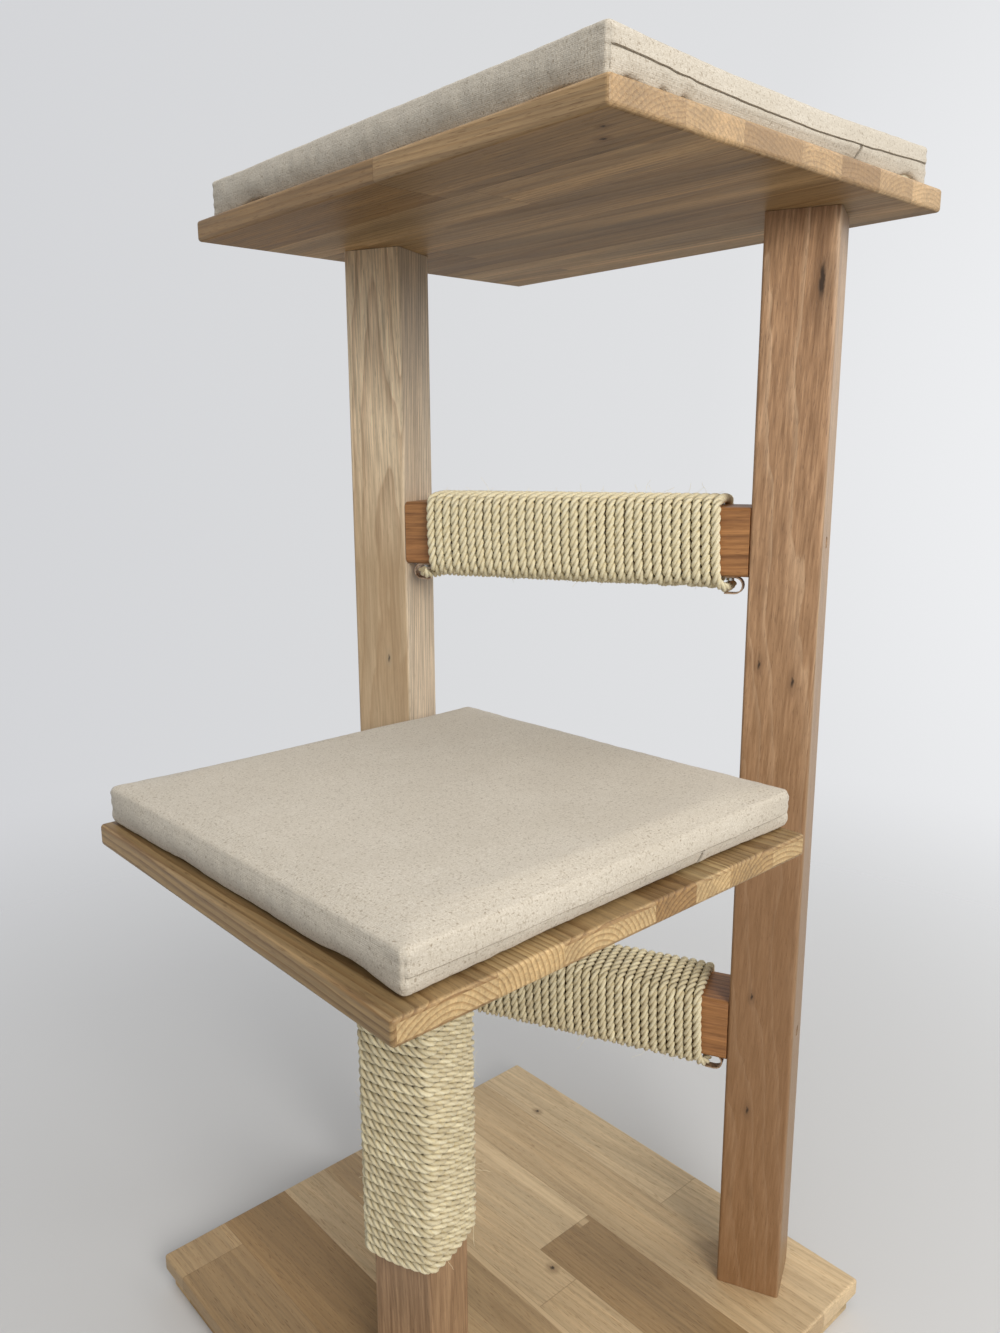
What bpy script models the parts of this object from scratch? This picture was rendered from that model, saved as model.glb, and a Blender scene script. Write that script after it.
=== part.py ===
# Cat perch: stepped base board, two tall posts joined by two roped crossbars, a roped
# front post, a middle shelf and a top shelf, each with a loose cushion.
# Units are metres, +Z is up, the boards' edges run along X and Y, and the origin is under
# the middle of the whole perch, on the floor.

import math

import bmesh
import bpy
from mathutils import Vector

# Clearance between faces that touch on the real perch
FIT_GAP = 0.0003

# Flats that make up each rounded edge, on timber and on cushions
TIMBER_ROUND_STEPS = 4
CUSHION_ROUND_STEPS = 3

# Boards
BOARD_THICKNESS = 0.018
BOARD_EDGE_ROUND = 0.003
BASE_SIZE = 0.500
BASE_STEP = 0.006
MIDDLE_SHELF_SIZE = 0.400
TOP_SHELF_X = 0.400
TOP_SHELF_Y = 0.500

# Shelf centres, measured from the centre of the base
MIDDLE_SHELF_PLACE = (-0.116, -0.060)
TOP_SHELF_PLACE = (0.058, 0.004)

# Square timber
POST_WIDTH = 0.060
POST_EDGE_ROUND = 0.003
TALL_POST_HEIGHT = 1.000
FRONT_POST_HEIGHT = 0.500
BAR_WIDTH = 0.060
BAR_EDGE_ROUND = 0.005

# The tall posts stand either side of this place, on a line turned from the boards
TALL_FRAME_PLACE = (0.103, 0.0095)
TALL_FRAME_TURN = math.radians(-65.7)
TALL_POST_SPACING = 0.394
FRONT_POST_PLACE = (-0.130, -0.033)
FRONT_POST_TURN = math.radians(18.0)

# Crossbar centres, above the base
UPPER_BAR_HEIGHT = 0.735
LOWER_BAR_HEIGHT = 0.273

# Rope
ROPE_DIAMETER = 0.009
ROPE_PITCH = 0.0088
ROPE_VALLEY = 0.0064
ROPE_CORNER_STEPS = 3
FRONT_ROPE_START = 0.140

# Rope tails, which lie across the timber under the last turn and reach further on one side
ROPE_TAIL_LENGTH = 0.050
ROPE_TAIL_FORWARD = 0.009
ROPE_TAIL_OUT = 0.0005
ROPE_TAIL_CLEARANCE = 0.0013
ROPE_TAIL_SIDES = 12

# Hooked clips that hold the rope tails, with the room they leave to the next post
CLIP_THICKNESS = 0.0012
CLIP_WIDTH = 0.008
CLIP_FORWARD = 0.018
CLIP_MARGIN = 0.001
CLIP_ROOM = 0.005
CLIP_BEND_STEPS = 8

# Cushions
CUSHION_THICKNESS = 0.036
CUSHION_EDGE_ROUND = 0.006
COVER_THICKNESS = 0.0012
MIDDLE_CUSHION_SIZE = (0.388, 0.386)
MIDDLE_CUSHION_SHIFT = (0.006, 0.003)
TOP_CUSHION_SIZE = (0.382, 0.476)
TOP_CUSHION_SHIFT = (0.000, -0.003)
ZIP_WIDTH = 0.003
ZIP_END_MARGIN = 0.035
ZIP_HEIGHT = 0.016

# Screws: head radius and height, shank radius, length under the head top
SCREW_SIDES = 12
SOCKET_SHARE = 0.45
POST_SCREW = dict(head=0.0065, head_height=0.005, shank=0.003, length=0.085, sunk=0.004, cone=False)
BOARD_SCREW = dict(head=0.004, head_height=0.003, shank=0.002, length=0.030, sunk=0.0005, cone=True)
SHELF_SCREW = dict(head=0.005, head_height=0.0035, shank=0.0025, length=0.070, sunk=0.0005, cone=True)
BAR_BOLT = dict(head=0.005, head_height=0.006, shank=0.003, length=0.090, sunk=0.014, cone=False)
CLIP_SCREW = dict(head=0.0035, head_height=0.0022, shank=0.0015, length=0.015, sunk=0.0, cone=False)
SCREW_OFFSET = 0.015
BOARD_SCREW_INSET = 0.025
CUTTER_OVERSHOOT = 0.002

# Heights that follow from the sizes
LOWER_BOARD_TOP = BOARD_THICKNESS
BASE_TOP = 2 * BOARD_THICKNESS
MIDDLE_SHELF_BOTTOM = BASE_TOP + FRONT_POST_HEIGHT
MIDDLE_SHELF_TOP = MIDDLE_SHELF_BOTTOM + BOARD_THICKNESS
TOP_SHELF_BOTTOM = BASE_TOP + TALL_POST_HEIGHT
TOP_SHELF_TOP = TOP_SHELF_BOTTOM + BOARD_THICKNESS
BAR_LENGTH = TALL_POST_SPACING - POST_WIDTH

# Rope tail and clip, as depths from the timber's face and distances past the last turn
TAIL_RADIUS = ROPE_DIAMETER / 2
CLIP_FOOT_DEPTH = FIT_GAP + CLIP_THICKNESS / 2
CLIP_FOOT_LENGTH = 2 * (CLIP_SCREW["head"] + CLIP_MARGIN)
CLIP_SCREW_DEPTH = 2 * FIT_GAP + CLIP_THICKNESS + CLIP_SCREW["head_height"]
TAIL_DEPTH = CLIP_SCREW_DEPTH + ROPE_TAIL_CLEARANCE + TAIL_RADIUS
CLIP_HOOK_DEPTH = TAIL_DEPTH + TAIL_RADIUS + FIT_GAP + CLIP_THICKNESS / 2
CLIP_BEND_RADIUS = (CLIP_HOOK_DEPTH - CLIP_FOOT_DEPTH) / 2
CLIP_REACH = FIT_GAP + CLIP_FOOT_LENGTH + CLIP_BEND_RADIUS + CLIP_THICKNESS / 2
ROPE_BARE_END = CLIP_REACH + CLIP_ROOM


def base_centre():
    """Place of the base centre that puts the origin under the middle of the perch."""
    middles = ((0.0, 0.0), MIDDLE_SHELF_PLACE, TOP_SHELF_PLACE)
    sizes = ((BASE_SIZE, BASE_SIZE), (MIDDLE_SHELF_SIZE, MIDDLE_SHELF_SIZE), (TOP_SHELF_X, TOP_SHELF_Y))
    centre = []
    for axis in range(2):
        low = min(middle[axis] - size[axis] / 2 for middle, size in zip(middles, sizes))
        high = max(middle[axis] + size[axis] / 2 for middle, size in zip(middles, sizes))
        centre.append(-(low + high) / 2)
    return centre


BASE_X, BASE_Y = base_centre()


def from_base(place, height):
    """World place of a point given from the base centre."""
    return Vector((BASE_X + place[0], BASE_Y + place[1], height))


def clear_scene():
    for item in list(bpy.data.objects):
        bpy.data.objects.remove(item, do_unlink=True)


def make_material(name, color, roughness, metallic=0.0):
    material = bpy.data.materials.new(name)
    material.use_nodes = True
    shader = material.node_tree.nodes["Principled BSDF"]
    shader.inputs["Base Color"].default_value = (*color, 1.0)
    shader.inputs["Roughness"].default_value = roughness
    shader.inputs["Metallic"].default_value = metallic
    material.diffuse_color = (*color, 1.0)
    return material


def add_empty(name, location, rotation, parent=None):
    empty = bpy.data.objects.new(name, None)
    empty.parent = parent
    empty.location = location
    empty.rotation_euler = rotation
    bpy.context.scene.collection.objects.link(empty)
    return empty


def add_object(name, bm, material=None, parent=None, location=(0, 0, 0), rotation=(0, 0, 0), smooth=False):
    """Turn a bmesh into a named object under its parent."""
    bmesh.ops.recalc_face_normals(bm, faces=bm.faces)
    mesh = bpy.data.meshes.new(name)
    bm.to_mesh(mesh)
    bm.free()
    if smooth:
        mesh.shade_smooth()
        mesh.set_sharp_from_angle(angle=math.radians(40))
    piece = bpy.data.objects.new(name, mesh)
    if material:
        mesh.materials.append(material)
    piece.parent = parent
    piece.location = location
    piece.rotation_euler = rotation
    bpy.context.scene.collection.objects.link(piece)
    return piece


def add_cutter(name, bm, **place):
    cutter = add_object(name, bm, **place)
    cutter.hide_render = True
    cutter.display_type = "WIRE"
    return cutter


def combine(piece, tool, operation="DIFFERENCE"):
    modifier = piece.modifiers.new(f"{operation.lower()} {tool.name}", "BOOLEAN")
    modifier.operation = operation
    modifier.solver = "EXACT"
    modifier.object = tool


def box_bmesh(size, round_radius=0.0, segments=TIMBER_ROUND_STEPS, upright_only=False):
    """Box that stands on z = 0, centred in X and Y, with rounded edges."""
    bm = bmesh.new()
    bmesh.ops.create_cube(bm, size=1.0)
    bmesh.ops.scale(bm, vec=size, verts=bm.verts)
    bmesh.ops.translate(bm, vec=(0, 0, size[2] / 2), verts=bm.verts)
    if round_radius > 0:
        edges = bm.edges[:]
        if upright_only:
            edges = [e for e in edges if abs(e.verts[0].co.z - e.verts[1].co.z) > size[2] / 2]
        bmesh.ops.bevel(bm, geom=edges, offset=round_radius, segments=segments, profile=0.5,
                        affect="EDGES", clamp_overlap=True)
    return bm


def turned_bmesh(profile, sides):
    """Solid of revolution about Z from (radius, height) points that start and end on the axis."""
    bm = bmesh.new()
    rings = []
    for radius, height in profile:
        if radius == 0:
            rings.append([bm.verts.new((0, 0, height))])
            continue
        angles = [2 * math.pi * k / sides for k in range(sides)]
        rings.append([bm.verts.new((radius * math.cos(a), radius * math.sin(a), height)) for a in angles])
    for upper, lower in zip(rings, rings[1:]):
        for k in range(sides):
            n = (k + 1) % sides
            places = ((upper, k), (upper, n), (lower, n), (lower, k))
            corners = dict.fromkeys(ring[index % len(ring)] for ring, index in places)
            bm.faces.new(list(corners))
    return bm


def screw_profile(screw):
    """Outline of a screw with its head top at z = 0, a socket in the head and a pointed tip."""
    head, height, shank, length = screw["head"], screw["head_height"], screw["shank"], screw["length"]
    socket = head * SOCKET_SHARE
    neck = [(shank, -height)] if screw["cone"] else [(head, -height), (shank, -height)]
    return [(0, -height / 2), (socket, -height / 2), (socket, 0), (head, 0), *neck,
            (shank, -length + shank), (0, -length)]


def screw_hole_profile(screw):
    """The hole that the screw sits in, one gap larger all round and open above the head."""
    head, height, shank, length = screw["head"], screw["head_height"], screw["shank"], screw["length"]
    top = screw["sunk"] + CUTTER_OVERSHOOT
    wide, narrow = head + FIT_GAP, shank + FIT_GAP
    seat = -height - FIT_GAP
    if screw["sunk"] == 0:
        head_hole = [(narrow, top)]
    elif screw["cone"]:
        head_hole = [(wide, top), (wide, 0), (narrow, -height)]
    else:
        head_hole = [(wide, top), (wide, seat), (narrow, seat)]
    return [(0, top), *head_hole, (narrow, -length), (0, -length - FIT_GAP)]


def add_screw(name, screw, steel, pieces, parent, location, rotation=(0, 0, 0)):
    """Add a screw with its head towards its own +Z, and its hole in each piece it enters."""
    place = dict(parent=parent, location=location, rotation=rotation)
    add_object(name, turned_bmesh(screw_profile(screw), SCREW_SIDES), steel, smooth=True, **place)
    hole = add_cutter(f"{name}_hole", turned_bmesh(screw_hole_profile(screw), SCREW_SIDES), **place)
    for piece in pieces:
        combine(piece, hole)


def rounded_square(half_width, radius, height):
    """Points of a square with round corners, at one height."""
    inner = half_width - radius
    points = []
    for quarter, (side_x, side_y) in enumerate(((1, 1), (-1, 1), (-1, -1), (1, -1))):
        for step in range(ROPE_CORNER_STEPS + 1):
            angle = math.pi / 2 * (quarter + step / ROPE_CORNER_STEPS)
            x = side_x * inner + radius * math.cos(angle)
            y = side_y * inner + radius * math.sin(angle)
            points.append((x, y, height))
    return points


def rope_bmesh(core_width, core_round, length):
    """Rope wound on a square timber along Z, as one ribbed sleeve with a rib for each turn."""
    turns = max(2, round(length / ROPE_PITCH))
    rib = length / turns
    bore = core_width / 2 + FIT_GAP
    bore_round = core_round + FIT_GAP
    bm = bmesh.new()

    def loop(offset, height):
        points = rounded_square(bore + offset, bore_round + offset, height)
        return [bm.verts.new(point) for point in points]

    loops = [loop(0, 0), loop(ROPE_VALLEY, 0)]
    for turn in range(turns):
        loops.append(loop(ROPE_DIAMETER, (turn + 0.5) * rib))
        loops.append(loop(ROPE_VALLEY, (turn + 1) * rib))
    loops.append(loop(0, length))
    count = len(loops[0])
    for near, far in zip(loops, loops[1:] + loops[:1]):
        for k in range(count):
            n = (k + 1) % count
            bm.faces.new((near[k], near[n], far[n], far[k]))
    return bm


def tail_bmesh():
    """Cut end of the rope, a short round length along Y with its middle at the origin."""
    end = ROPE_TAIL_LENGTH / 2
    bm = turned_bmesh([(0, end), (TAIL_RADIUS, end), (TAIL_RADIUS, -end), (0, -end)], ROPE_TAIL_SIDES)
    for vert in bm.verts:
        vert.co = Vector((vert.co.x, -vert.co.z, vert.co.y))
    return bm


def clip_bmesh():
    """Strap bent into a hook: a flat foot under z = 0, a round bend at +X, and a lip under the tail."""
    bend_x = FIT_GAP + CLIP_FOOT_LENGTH
    bend_z = -CLIP_FOOT_DEPTH - CLIP_BEND_RADIUS
    inner_radius = CLIP_BEND_RADIUS - CLIP_THICKNESS / 2
    outer_radius = CLIP_BEND_RADIUS + CLIP_THICKNESS / 2
    outer, inner = [(FIT_GAP, bend_z + outer_radius)], [(FIT_GAP, bend_z + inner_radius)]
    for step in range(CLIP_BEND_STEPS + 1):
        angle = math.pi / 2 - math.pi * step / CLIP_BEND_STEPS
        for side, radius in ((outer, outer_radius), (inner, inner_radius)):
            side.append((bend_x + radius * math.cos(angle), bend_z + radius * math.sin(angle)))
    outer.append((ROPE_TAIL_OUT, bend_z - outer_radius))
    inner.append((ROPE_TAIL_OUT, bend_z - inner_radius))
    bm = bmesh.new()
    face = bm.faces.new([bm.verts.new((x, -CLIP_WIDTH / 2, z)) for x, z in outer + inner[::-1]])
    grown = bmesh.ops.extrude_face_region(bm, geom=[face])
    moved = [item for item in grown["geom"] if isinstance(item, bmesh.types.BMVert)]
    bmesh.ops.translate(bm, vec=(0, CLIP_WIDTH, 0), verts=moved)
    return bm


def add_rope(name, core, core_width, core_round, length, ends, looks, **place):
    """Add a wound rope, with a tail, a clip and a clip screw at each end given as (label, height)."""
    rope = add_object(name, rope_bmesh(core_width, core_round, length), looks["rope"], **place)
    for label, height in ends:
        outward = 1 if height > length / 2 else -1
        # The end frame has +X past the last turn along the timber, and +Z into the timber
        into_timber = (0, -math.pi / 2, 0) if outward > 0 else (math.pi, math.pi / 2, 0)
        end_frame = add_empty(f"{name}_{label}_end", (core_width / 2, 0, height), into_timber, rope)
        tail = add_cutter(f"{name}_{label}_tail", tail_bmesh(), parent=end_frame,
                          location=(ROPE_TAIL_OUT, -outward * ROPE_TAIL_FORWARD, -TAIL_DEPTH))
        combine(rope, tail, "UNION")
        forward = -outward * CLIP_FORWARD
        clip = add_object(f"{name}_{label}_clip", clip_bmesh(), looks["clip"], end_frame, (0, forward, 0))
        add_screw(f"{name}_{label}_clip_screw", CLIP_SCREW, looks["steel"], (clip, core), end_frame,
                  (FIT_GAP + CLIP_FOOT_LENGTH / 2, forward, -CLIP_SCREW_DEPTH), (math.pi, 0, 0))


def add_board(name, size, place, bottom, top, material):
    return add_object(name, box_bmesh((size[0], size[1], top - bottom), BOARD_EDGE_ROUND), material,
                      location=from_base(place, bottom), smooth=True)


def add_cushion(name, size, place, seat, looks):
    """Foam block in a fitted cover, with a zip along the cover's -Y side."""
    bottom = seat + FIT_GAP
    centre = from_base(place, bottom)
    length, width = size
    outer = (length, width, CUSHION_THICKNESS)
    cover = add_object(f"{name}_cover", box_bmesh(outer, CUSHION_EDGE_ROUND, CUSHION_ROUND_STEPS),
                       looks["cotton"], location=centre, smooth=True)
    inner = tuple(extent - 2 * COVER_THICKNESS for extent in outer)
    inner_round = CUSHION_EDGE_ROUND - COVER_THICKNESS
    lift = Vector((0, 0, COVER_THICKNESS))
    hollow = add_cutter(f"{name}_hollow", box_bmesh(inner, inner_round, CUSHION_ROUND_STEPS),
                        location=centre + lift)
    combine(cover, hollow)

    zip_length = length - 2 * ZIP_END_MARGIN
    zip_middle = Vector((0, -width / 2 + COVER_THICKNESS / 2, ZIP_HEIGHT - ZIP_WIDTH / 2))
    slot_size = (zip_length, COVER_THICKNESS + 2 * CUTTER_OVERSHOOT, ZIP_WIDTH)
    slot = add_cutter(f"{name}_slot", box_bmesh(slot_size), location=centre + zip_middle)
    combine(cover, slot)
    zip_size = (zip_length - 2 * FIT_GAP, COVER_THICKNESS, ZIP_WIDTH - 2 * FIT_GAP)
    add_object(f"{name}_zip", box_bmesh(zip_size), looks["zip"],
               location=centre + zip_middle + Vector((0, 0, FIT_GAP)))

    foam_size = tuple(extent - 2 * FIT_GAP for extent in inner)
    foam_lift = lift + Vector((0, 0, FIT_GAP))
    add_object(f"{name}_foam", box_bmesh(foam_size, inner_round, CUSHION_ROUND_STEPS), looks["foam"],
               location=centre + foam_lift, smooth=True)


def add_post(name, height, parent, location, material):
    size = (POST_WIDTH, POST_WIDTH, height - 2 * FIT_GAP)
    bm = box_bmesh(size, POST_EDGE_ROUND, upright_only=True)
    return add_object(name, bm, material, parent, location + Vector((0, 0, FIT_GAP)), smooth=True)


def fasten_post(post, name, parent, x, height, shelf, base_boards, steel):
    """Two screws up through the base and two down through the shelf."""
    for number, side in enumerate((-1, 1), start=1):
        low = (x + side * SCREW_OFFSET, 0, -BASE_TOP + POST_SCREW["sunk"])
        add_screw(f"base_screw_{name}_{number}", POST_SCREW, steel, (*base_boards, post), parent, low,
                  (math.pi, 0, 0))
        high = (x, side * SCREW_OFFSET, height + BOARD_THICKNESS - SHELF_SCREW["sunk"])
        add_screw(f"shelf_screw_{name}_{number}", SHELF_SCREW, steel, (shelf, post), parent, high)


def add_crossbar(name, height, parent, posts, looks):
    """Crossbar between the tall posts, with its rope and the bolt through each post."""
    length = BAR_LENGTH - 2 * FIT_GAP
    along_x = (0, math.pi / 2, 0)
    bm = box_bmesh((BAR_WIDTH, BAR_WIDTH, length), BAR_EDGE_ROUND, upright_only=True)
    bar = add_object(f"crossbar_{name}", bm, looks["bar"], parent, (-length / 2, 0, height), along_x,
                     smooth=True)
    rope_length = BAR_LENGTH - 2 * ROPE_BARE_END
    ends = (("left", 0.0), ("right", rope_length))
    add_rope(f"rope_{name}", bar, BAR_WIDTH, BAR_EDGE_ROUND, rope_length, ends, looks, parent=parent,
             location=(-rope_length / 2, 0, height), rotation=along_x)
    reach = TALL_POST_SPACING / 2 + POST_WIDTH / 2 - BAR_BOLT["sunk"]
    for label, side, post in (("left", -1, posts[0]), ("right", 1, posts[1])):
        turn = (0, side * math.pi / 2, 0)
        add_screw(f"bar_bolt_{name}_{label}", BAR_BOLT, looks["steel"], (post, bar), parent,
                  (side * reach, 0, height), turn)


def build():
    clear_scene()
    looks = {
        "base": make_material("oak_base", (0.46, 0.31, 0.17), 0.5),
        "oak": make_material("oak_shelf", (0.52, 0.36, 0.19), 0.5),
        "beech": make_material("beech_post", (0.42, 0.25, 0.15), 0.5),
        "bar": make_material("beech_bar", (0.40, 0.21, 0.10), 0.5),
        "rope": make_material("sisal", (0.74, 0.65, 0.42), 0.8),
        "cotton": make_material("cotton", (0.66, 0.60, 0.50), 0.9),
        "foam": make_material("foam", (0.85, 0.83, 0.72), 0.9),
        "zip": make_material("zip_tape", (0.60, 0.54, 0.44), 0.7),
        "steel": make_material("screw_steel", (0.60, 0.60, 0.58), 0.35, 1.0),
        "clip": make_material("clip_steel", (0.72, 0.66, 0.55), 0.4, 1.0),
    }

    lower_size = BASE_SIZE - 2 * BASE_STEP
    lower = add_board("base_board_lower", (lower_size, lower_size), (0, 0), 0.0, LOWER_BOARD_TOP,
                      looks["base"])
    upper = add_board("base_board_upper", (BASE_SIZE, BASE_SIZE), (0, 0), LOWER_BOARD_TOP + FIT_GAP,
                      BASE_TOP, looks["base"])
    middle = add_board("shelf_middle", (MIDDLE_SHELF_SIZE, MIDDLE_SHELF_SIZE), MIDDLE_SHELF_PLACE,
                       MIDDLE_SHELF_BOTTOM, MIDDLE_SHELF_TOP, looks["oak"])
    top = add_board("shelf_top", (TOP_SHELF_X, TOP_SHELF_Y), TOP_SHELF_PLACE, TOP_SHELF_BOTTOM,
                    TOP_SHELF_TOP, looks["oak"])
    base_boards = (lower, upper)
    corner = BASE_SIZE / 2 - BOARD_SCREW_INSET
    for number, (side_x, side_y) in enumerate(((-1, -1), (1, -1), (1, 1), (-1, 1)), start=1):
        place = from_base((side_x * corner, side_y * corner), BOARD_SCREW["sunk"])
        add_screw(f"base_joint_screw_{number}", BOARD_SCREW, looks["steel"], base_boards, None, place,
                  (math.pi, 0, 0))

    tall_frame = add_empty("tall_frame", from_base(TALL_FRAME_PLACE, BASE_TOP), (0, 0, TALL_FRAME_TURN))
    posts = []
    for label, side in (("left", -1), ("right", 1)):
        x = side * TALL_POST_SPACING / 2
        post = add_post(f"tall_post_{label}", TALL_POST_HEIGHT, tall_frame, Vector((x, 0, 0)),
                        looks["beech"])
        fasten_post(post, label, tall_frame, x, TALL_POST_HEIGHT, top, base_boards, looks["steel"])
        posts.append(post)
    add_crossbar("upper", UPPER_BAR_HEIGHT, tall_frame, posts, looks)
    add_crossbar("lower", LOWER_BAR_HEIGHT, tall_frame, posts, looks)

    front_frame = add_empty("front_frame", from_base(FRONT_POST_PLACE, BASE_TOP), (0, 0, FRONT_POST_TURN))
    front = add_post("front_post", FRONT_POST_HEIGHT, front_frame, Vector((0, 0, 0)), looks["beech"])
    fasten_post(front, "front", front_frame, 0.0, FRONT_POST_HEIGHT, middle, base_boards, looks["steel"])
    front_rope_length = FRONT_POST_HEIGHT - FRONT_ROPE_START - FIT_GAP
    add_rope("rope_front", front, POST_WIDTH, POST_EDGE_ROUND, front_rope_length, (("lower", 0.0),), looks,
             parent=front_frame, location=(0, 0, FRONT_ROPE_START), rotation=(0, 0, math.pi / 2))

    middle_place = [a + b for a, b in zip(MIDDLE_SHELF_PLACE, MIDDLE_CUSHION_SHIFT)]
    add_cushion("cushion_middle", MIDDLE_CUSHION_SIZE, middle_place, MIDDLE_SHELF_TOP, looks)
    top_place = [a + b for a, b in zip(TOP_SHELF_PLACE, TOP_CUSHION_SHIFT)]
    add_cushion("cushion_top", TOP_CUSHION_SIZE, top_place, TOP_SHELF_TOP, looks)


build()
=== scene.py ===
import math
import random

import bpy
from mathutils import Matrix, Vector, noise


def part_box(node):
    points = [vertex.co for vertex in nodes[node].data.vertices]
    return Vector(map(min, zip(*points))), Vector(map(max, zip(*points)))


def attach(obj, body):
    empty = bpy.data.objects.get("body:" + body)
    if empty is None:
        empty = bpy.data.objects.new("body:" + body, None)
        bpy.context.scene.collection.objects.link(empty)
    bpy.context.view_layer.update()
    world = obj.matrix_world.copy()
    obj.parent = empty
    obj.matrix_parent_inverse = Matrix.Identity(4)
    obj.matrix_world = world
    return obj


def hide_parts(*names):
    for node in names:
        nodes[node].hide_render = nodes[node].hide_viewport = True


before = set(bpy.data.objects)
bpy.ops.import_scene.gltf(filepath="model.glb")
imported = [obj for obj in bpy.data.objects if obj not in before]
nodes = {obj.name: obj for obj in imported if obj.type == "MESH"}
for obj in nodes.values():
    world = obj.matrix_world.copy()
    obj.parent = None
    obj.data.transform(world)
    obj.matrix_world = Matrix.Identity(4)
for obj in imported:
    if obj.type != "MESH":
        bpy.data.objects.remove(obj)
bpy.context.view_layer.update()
print("frame loaded:", len(nodes), "nodes")

timberHalf = 0.030                    # half the width of a post or crossbar
tallTurn = math.radians(-65.7)        # the line through the two tall posts
frontTurn = math.radians(18.0)        # the front post


# small helpers

def clearSelection():
    if bpy.context.object and bpy.context.object.mode != "OBJECT":
        bpy.ops.object.mode_set(mode="OBJECT")
    bpy.ops.object.select_all(action="DESELECT")


def pick(piece):
    clearSelection()
    piece.select_set(True)
    bpy.context.view_layer.objects.active = piece


def applyModifiers(piece):
    pick(piece)
    for modifier in list(piece.modifiers):
        bpy.ops.object.modifier_apply(modifier=modifier.name)


def settle(piece):
    pick(piece)
    bpy.ops.object.transform_apply(location=True, rotation=True, scale=True)


def inScene(name, data):
    item = bpy.data.objects.new(name, data)
    bpy.context.scene.collection.objects.link(item)
    return item


def duplicateOf(piece, name):
    pick(piece)
    bpy.ops.object.duplicate()
    copied = bpy.context.object
    copied.name = name
    return copied


def withNormals(piece):
    # every vertex, with its normal from before any of them moves
    vertices = piece.data.vertices
    return zip(vertices, [v.normal.copy() for v in vertices])


def pushIn(piece, distance):
    for vert, normal in withNormals(piece):
        vert.co -= normal * distance


def paint(piece, material):
    piece.data.materials.clear()
    piece.data.materials.append(material)


def dress(material, *names):
    for name in names:
        for slot in nodes[name].material_slots:
            slot.material = material


def ease(x):
    x = min(1.0, max(0.0, x))
    return x * x * (3 - 2 * x)


# helpers for materials

def linear(red, green, blue):
    # screen colour 0 to 255 as the linear value a node takes
    return tuple(((c / 255 + 0.055) / 1.055) ** 2.4 if c > 10 else c / 3294.6 for c in (red, green, blue))


def toned(color, part):
    return tuple(part * c for c in color)


def put(tree, kind, inputs=None, **settings):
    node = tree.nodes.new("ShaderNode" + kind)
    for key, value in settings.items():
        setattr(node, key, value)
    for key, value in (inputs or {}).items():
        if isinstance(value, bpy.types.NodeSocket):
            tree.links.new(value, node.inputs[key])
        else:
            node.inputs[key].default_value = value
    return node


def calc(tree, operation, *values):
    return put(tree, "Math", dict(enumerate(values)), operation=operation).outputs[0]


def times(tree, first, second):
    return calc(tree, "MULTIPLY", first, second)


def gather(tree, operation, values):
    total, *others = values
    for value in others:
        total = calc(tree, operation, total, value)
    return total


def swung(tree, value, swing):
    # a gain round 1 that grows by the swing as the value goes from 0 to 1
    return calc(tree, "MULTIPLY_ADD", value, swing, 1 - swing / 2)


def span(tree, value, start, stop, **settings):
    # 0 at the start, 1 at the stop
    return put(tree, "MapRange", {0: value, 1: start, 2: stop}, **settings).outputs[0]


def move3(tree, operation, first, second):
    return put(tree, "VectorMath", {0: first, 1: second}, operation=operation).outputs[0]


def scale3(tree, vector, part):
    return put(tree, "VectorMath", {0: vector, "Scale": part}, operation="SCALE").outputs[0]


def length3(tree, vector):
    return put(tree, "VectorMath", {0: vector}, operation="LENGTH").outputs["Value"]


def split3(tree, vector):
    return put(tree, "SeparateXYZ", {0: vector}).outputs


def join3(tree, x, y, z):
    return put(tree, "CombineXYZ", {0: x, 1: y, 2: z}).outputs[0]


def objectPlace(tree):
    return put(tree, "TexCoord").outputs["Object"]


def ramp(tree, fac, stops, interpolation="LINEAR"):
    node = put(tree, "ValToRGB", {"Fac": fac})
    node.color_ramp.interpolation = interpolation
    bar = node.color_ramp.elements
    while len(bar) < len(stops):
        bar.new(0.5)
    for element, (place, value) in zip(bar, sorted(stops)):
        element.position = place
    for element, (place, value) in zip(bar, sorted(stops)):
        element.color = (value, value, value, 1) if isinstance(value, (int, float)) else (*value, 1)
    return node.outputs["Color"]


def climb(tree, fac, low, high):
    return ramp(tree, fac, [(low, 0.0), (high, 1.0)])


def opaque(color):
    return color if isinstance(color, bpy.types.NodeSocket) else (*color, 1)


def mixColor(tree, fac, first, second, blend="MIX"):
    return put(tree, "Mix", {0: fac, 6: opaque(first), 7: opaque(second)}, data_type="RGBA",
               blend_type=blend).outputs[2]


def tint(tree, color, mask, strength, other):
    # the colour moves towards the other one where the mask is
    return mixColor(tree, times(tree, mask, strength), color, other)


def grain(tree, vector, scale, detail=2.0, roughness=0.5, output="Fac"):
    stretched = move3(tree, "MULTIPLY", vector, scale)
    return put(tree, "TexNoise", {"Vector": stretched, "Scale": 1.0, "Detail": detail, "Roughness": roughness}
               ).outputs[output]


def swirl(tree, vector, scale, detail):
    # noise that pushes every way
    return move3(tree, "SUBTRACT", grain(tree, vector, scale, detail, output="Color"), (0.5, 0.5, 0.5))


def feed(tree, node, **sockets):
    for key, socket in sockets.items():
        tree.links.new(socket, node.inputs[key.replace("_", " ")])


def addBump(tree, shader, height, strength, distance):
    bump = put(tree, "Bump", {"Height": height, "Strength": strength, "Distance": distance})
    feed(tree, shader, Normal=bump.outputs[0])


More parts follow.
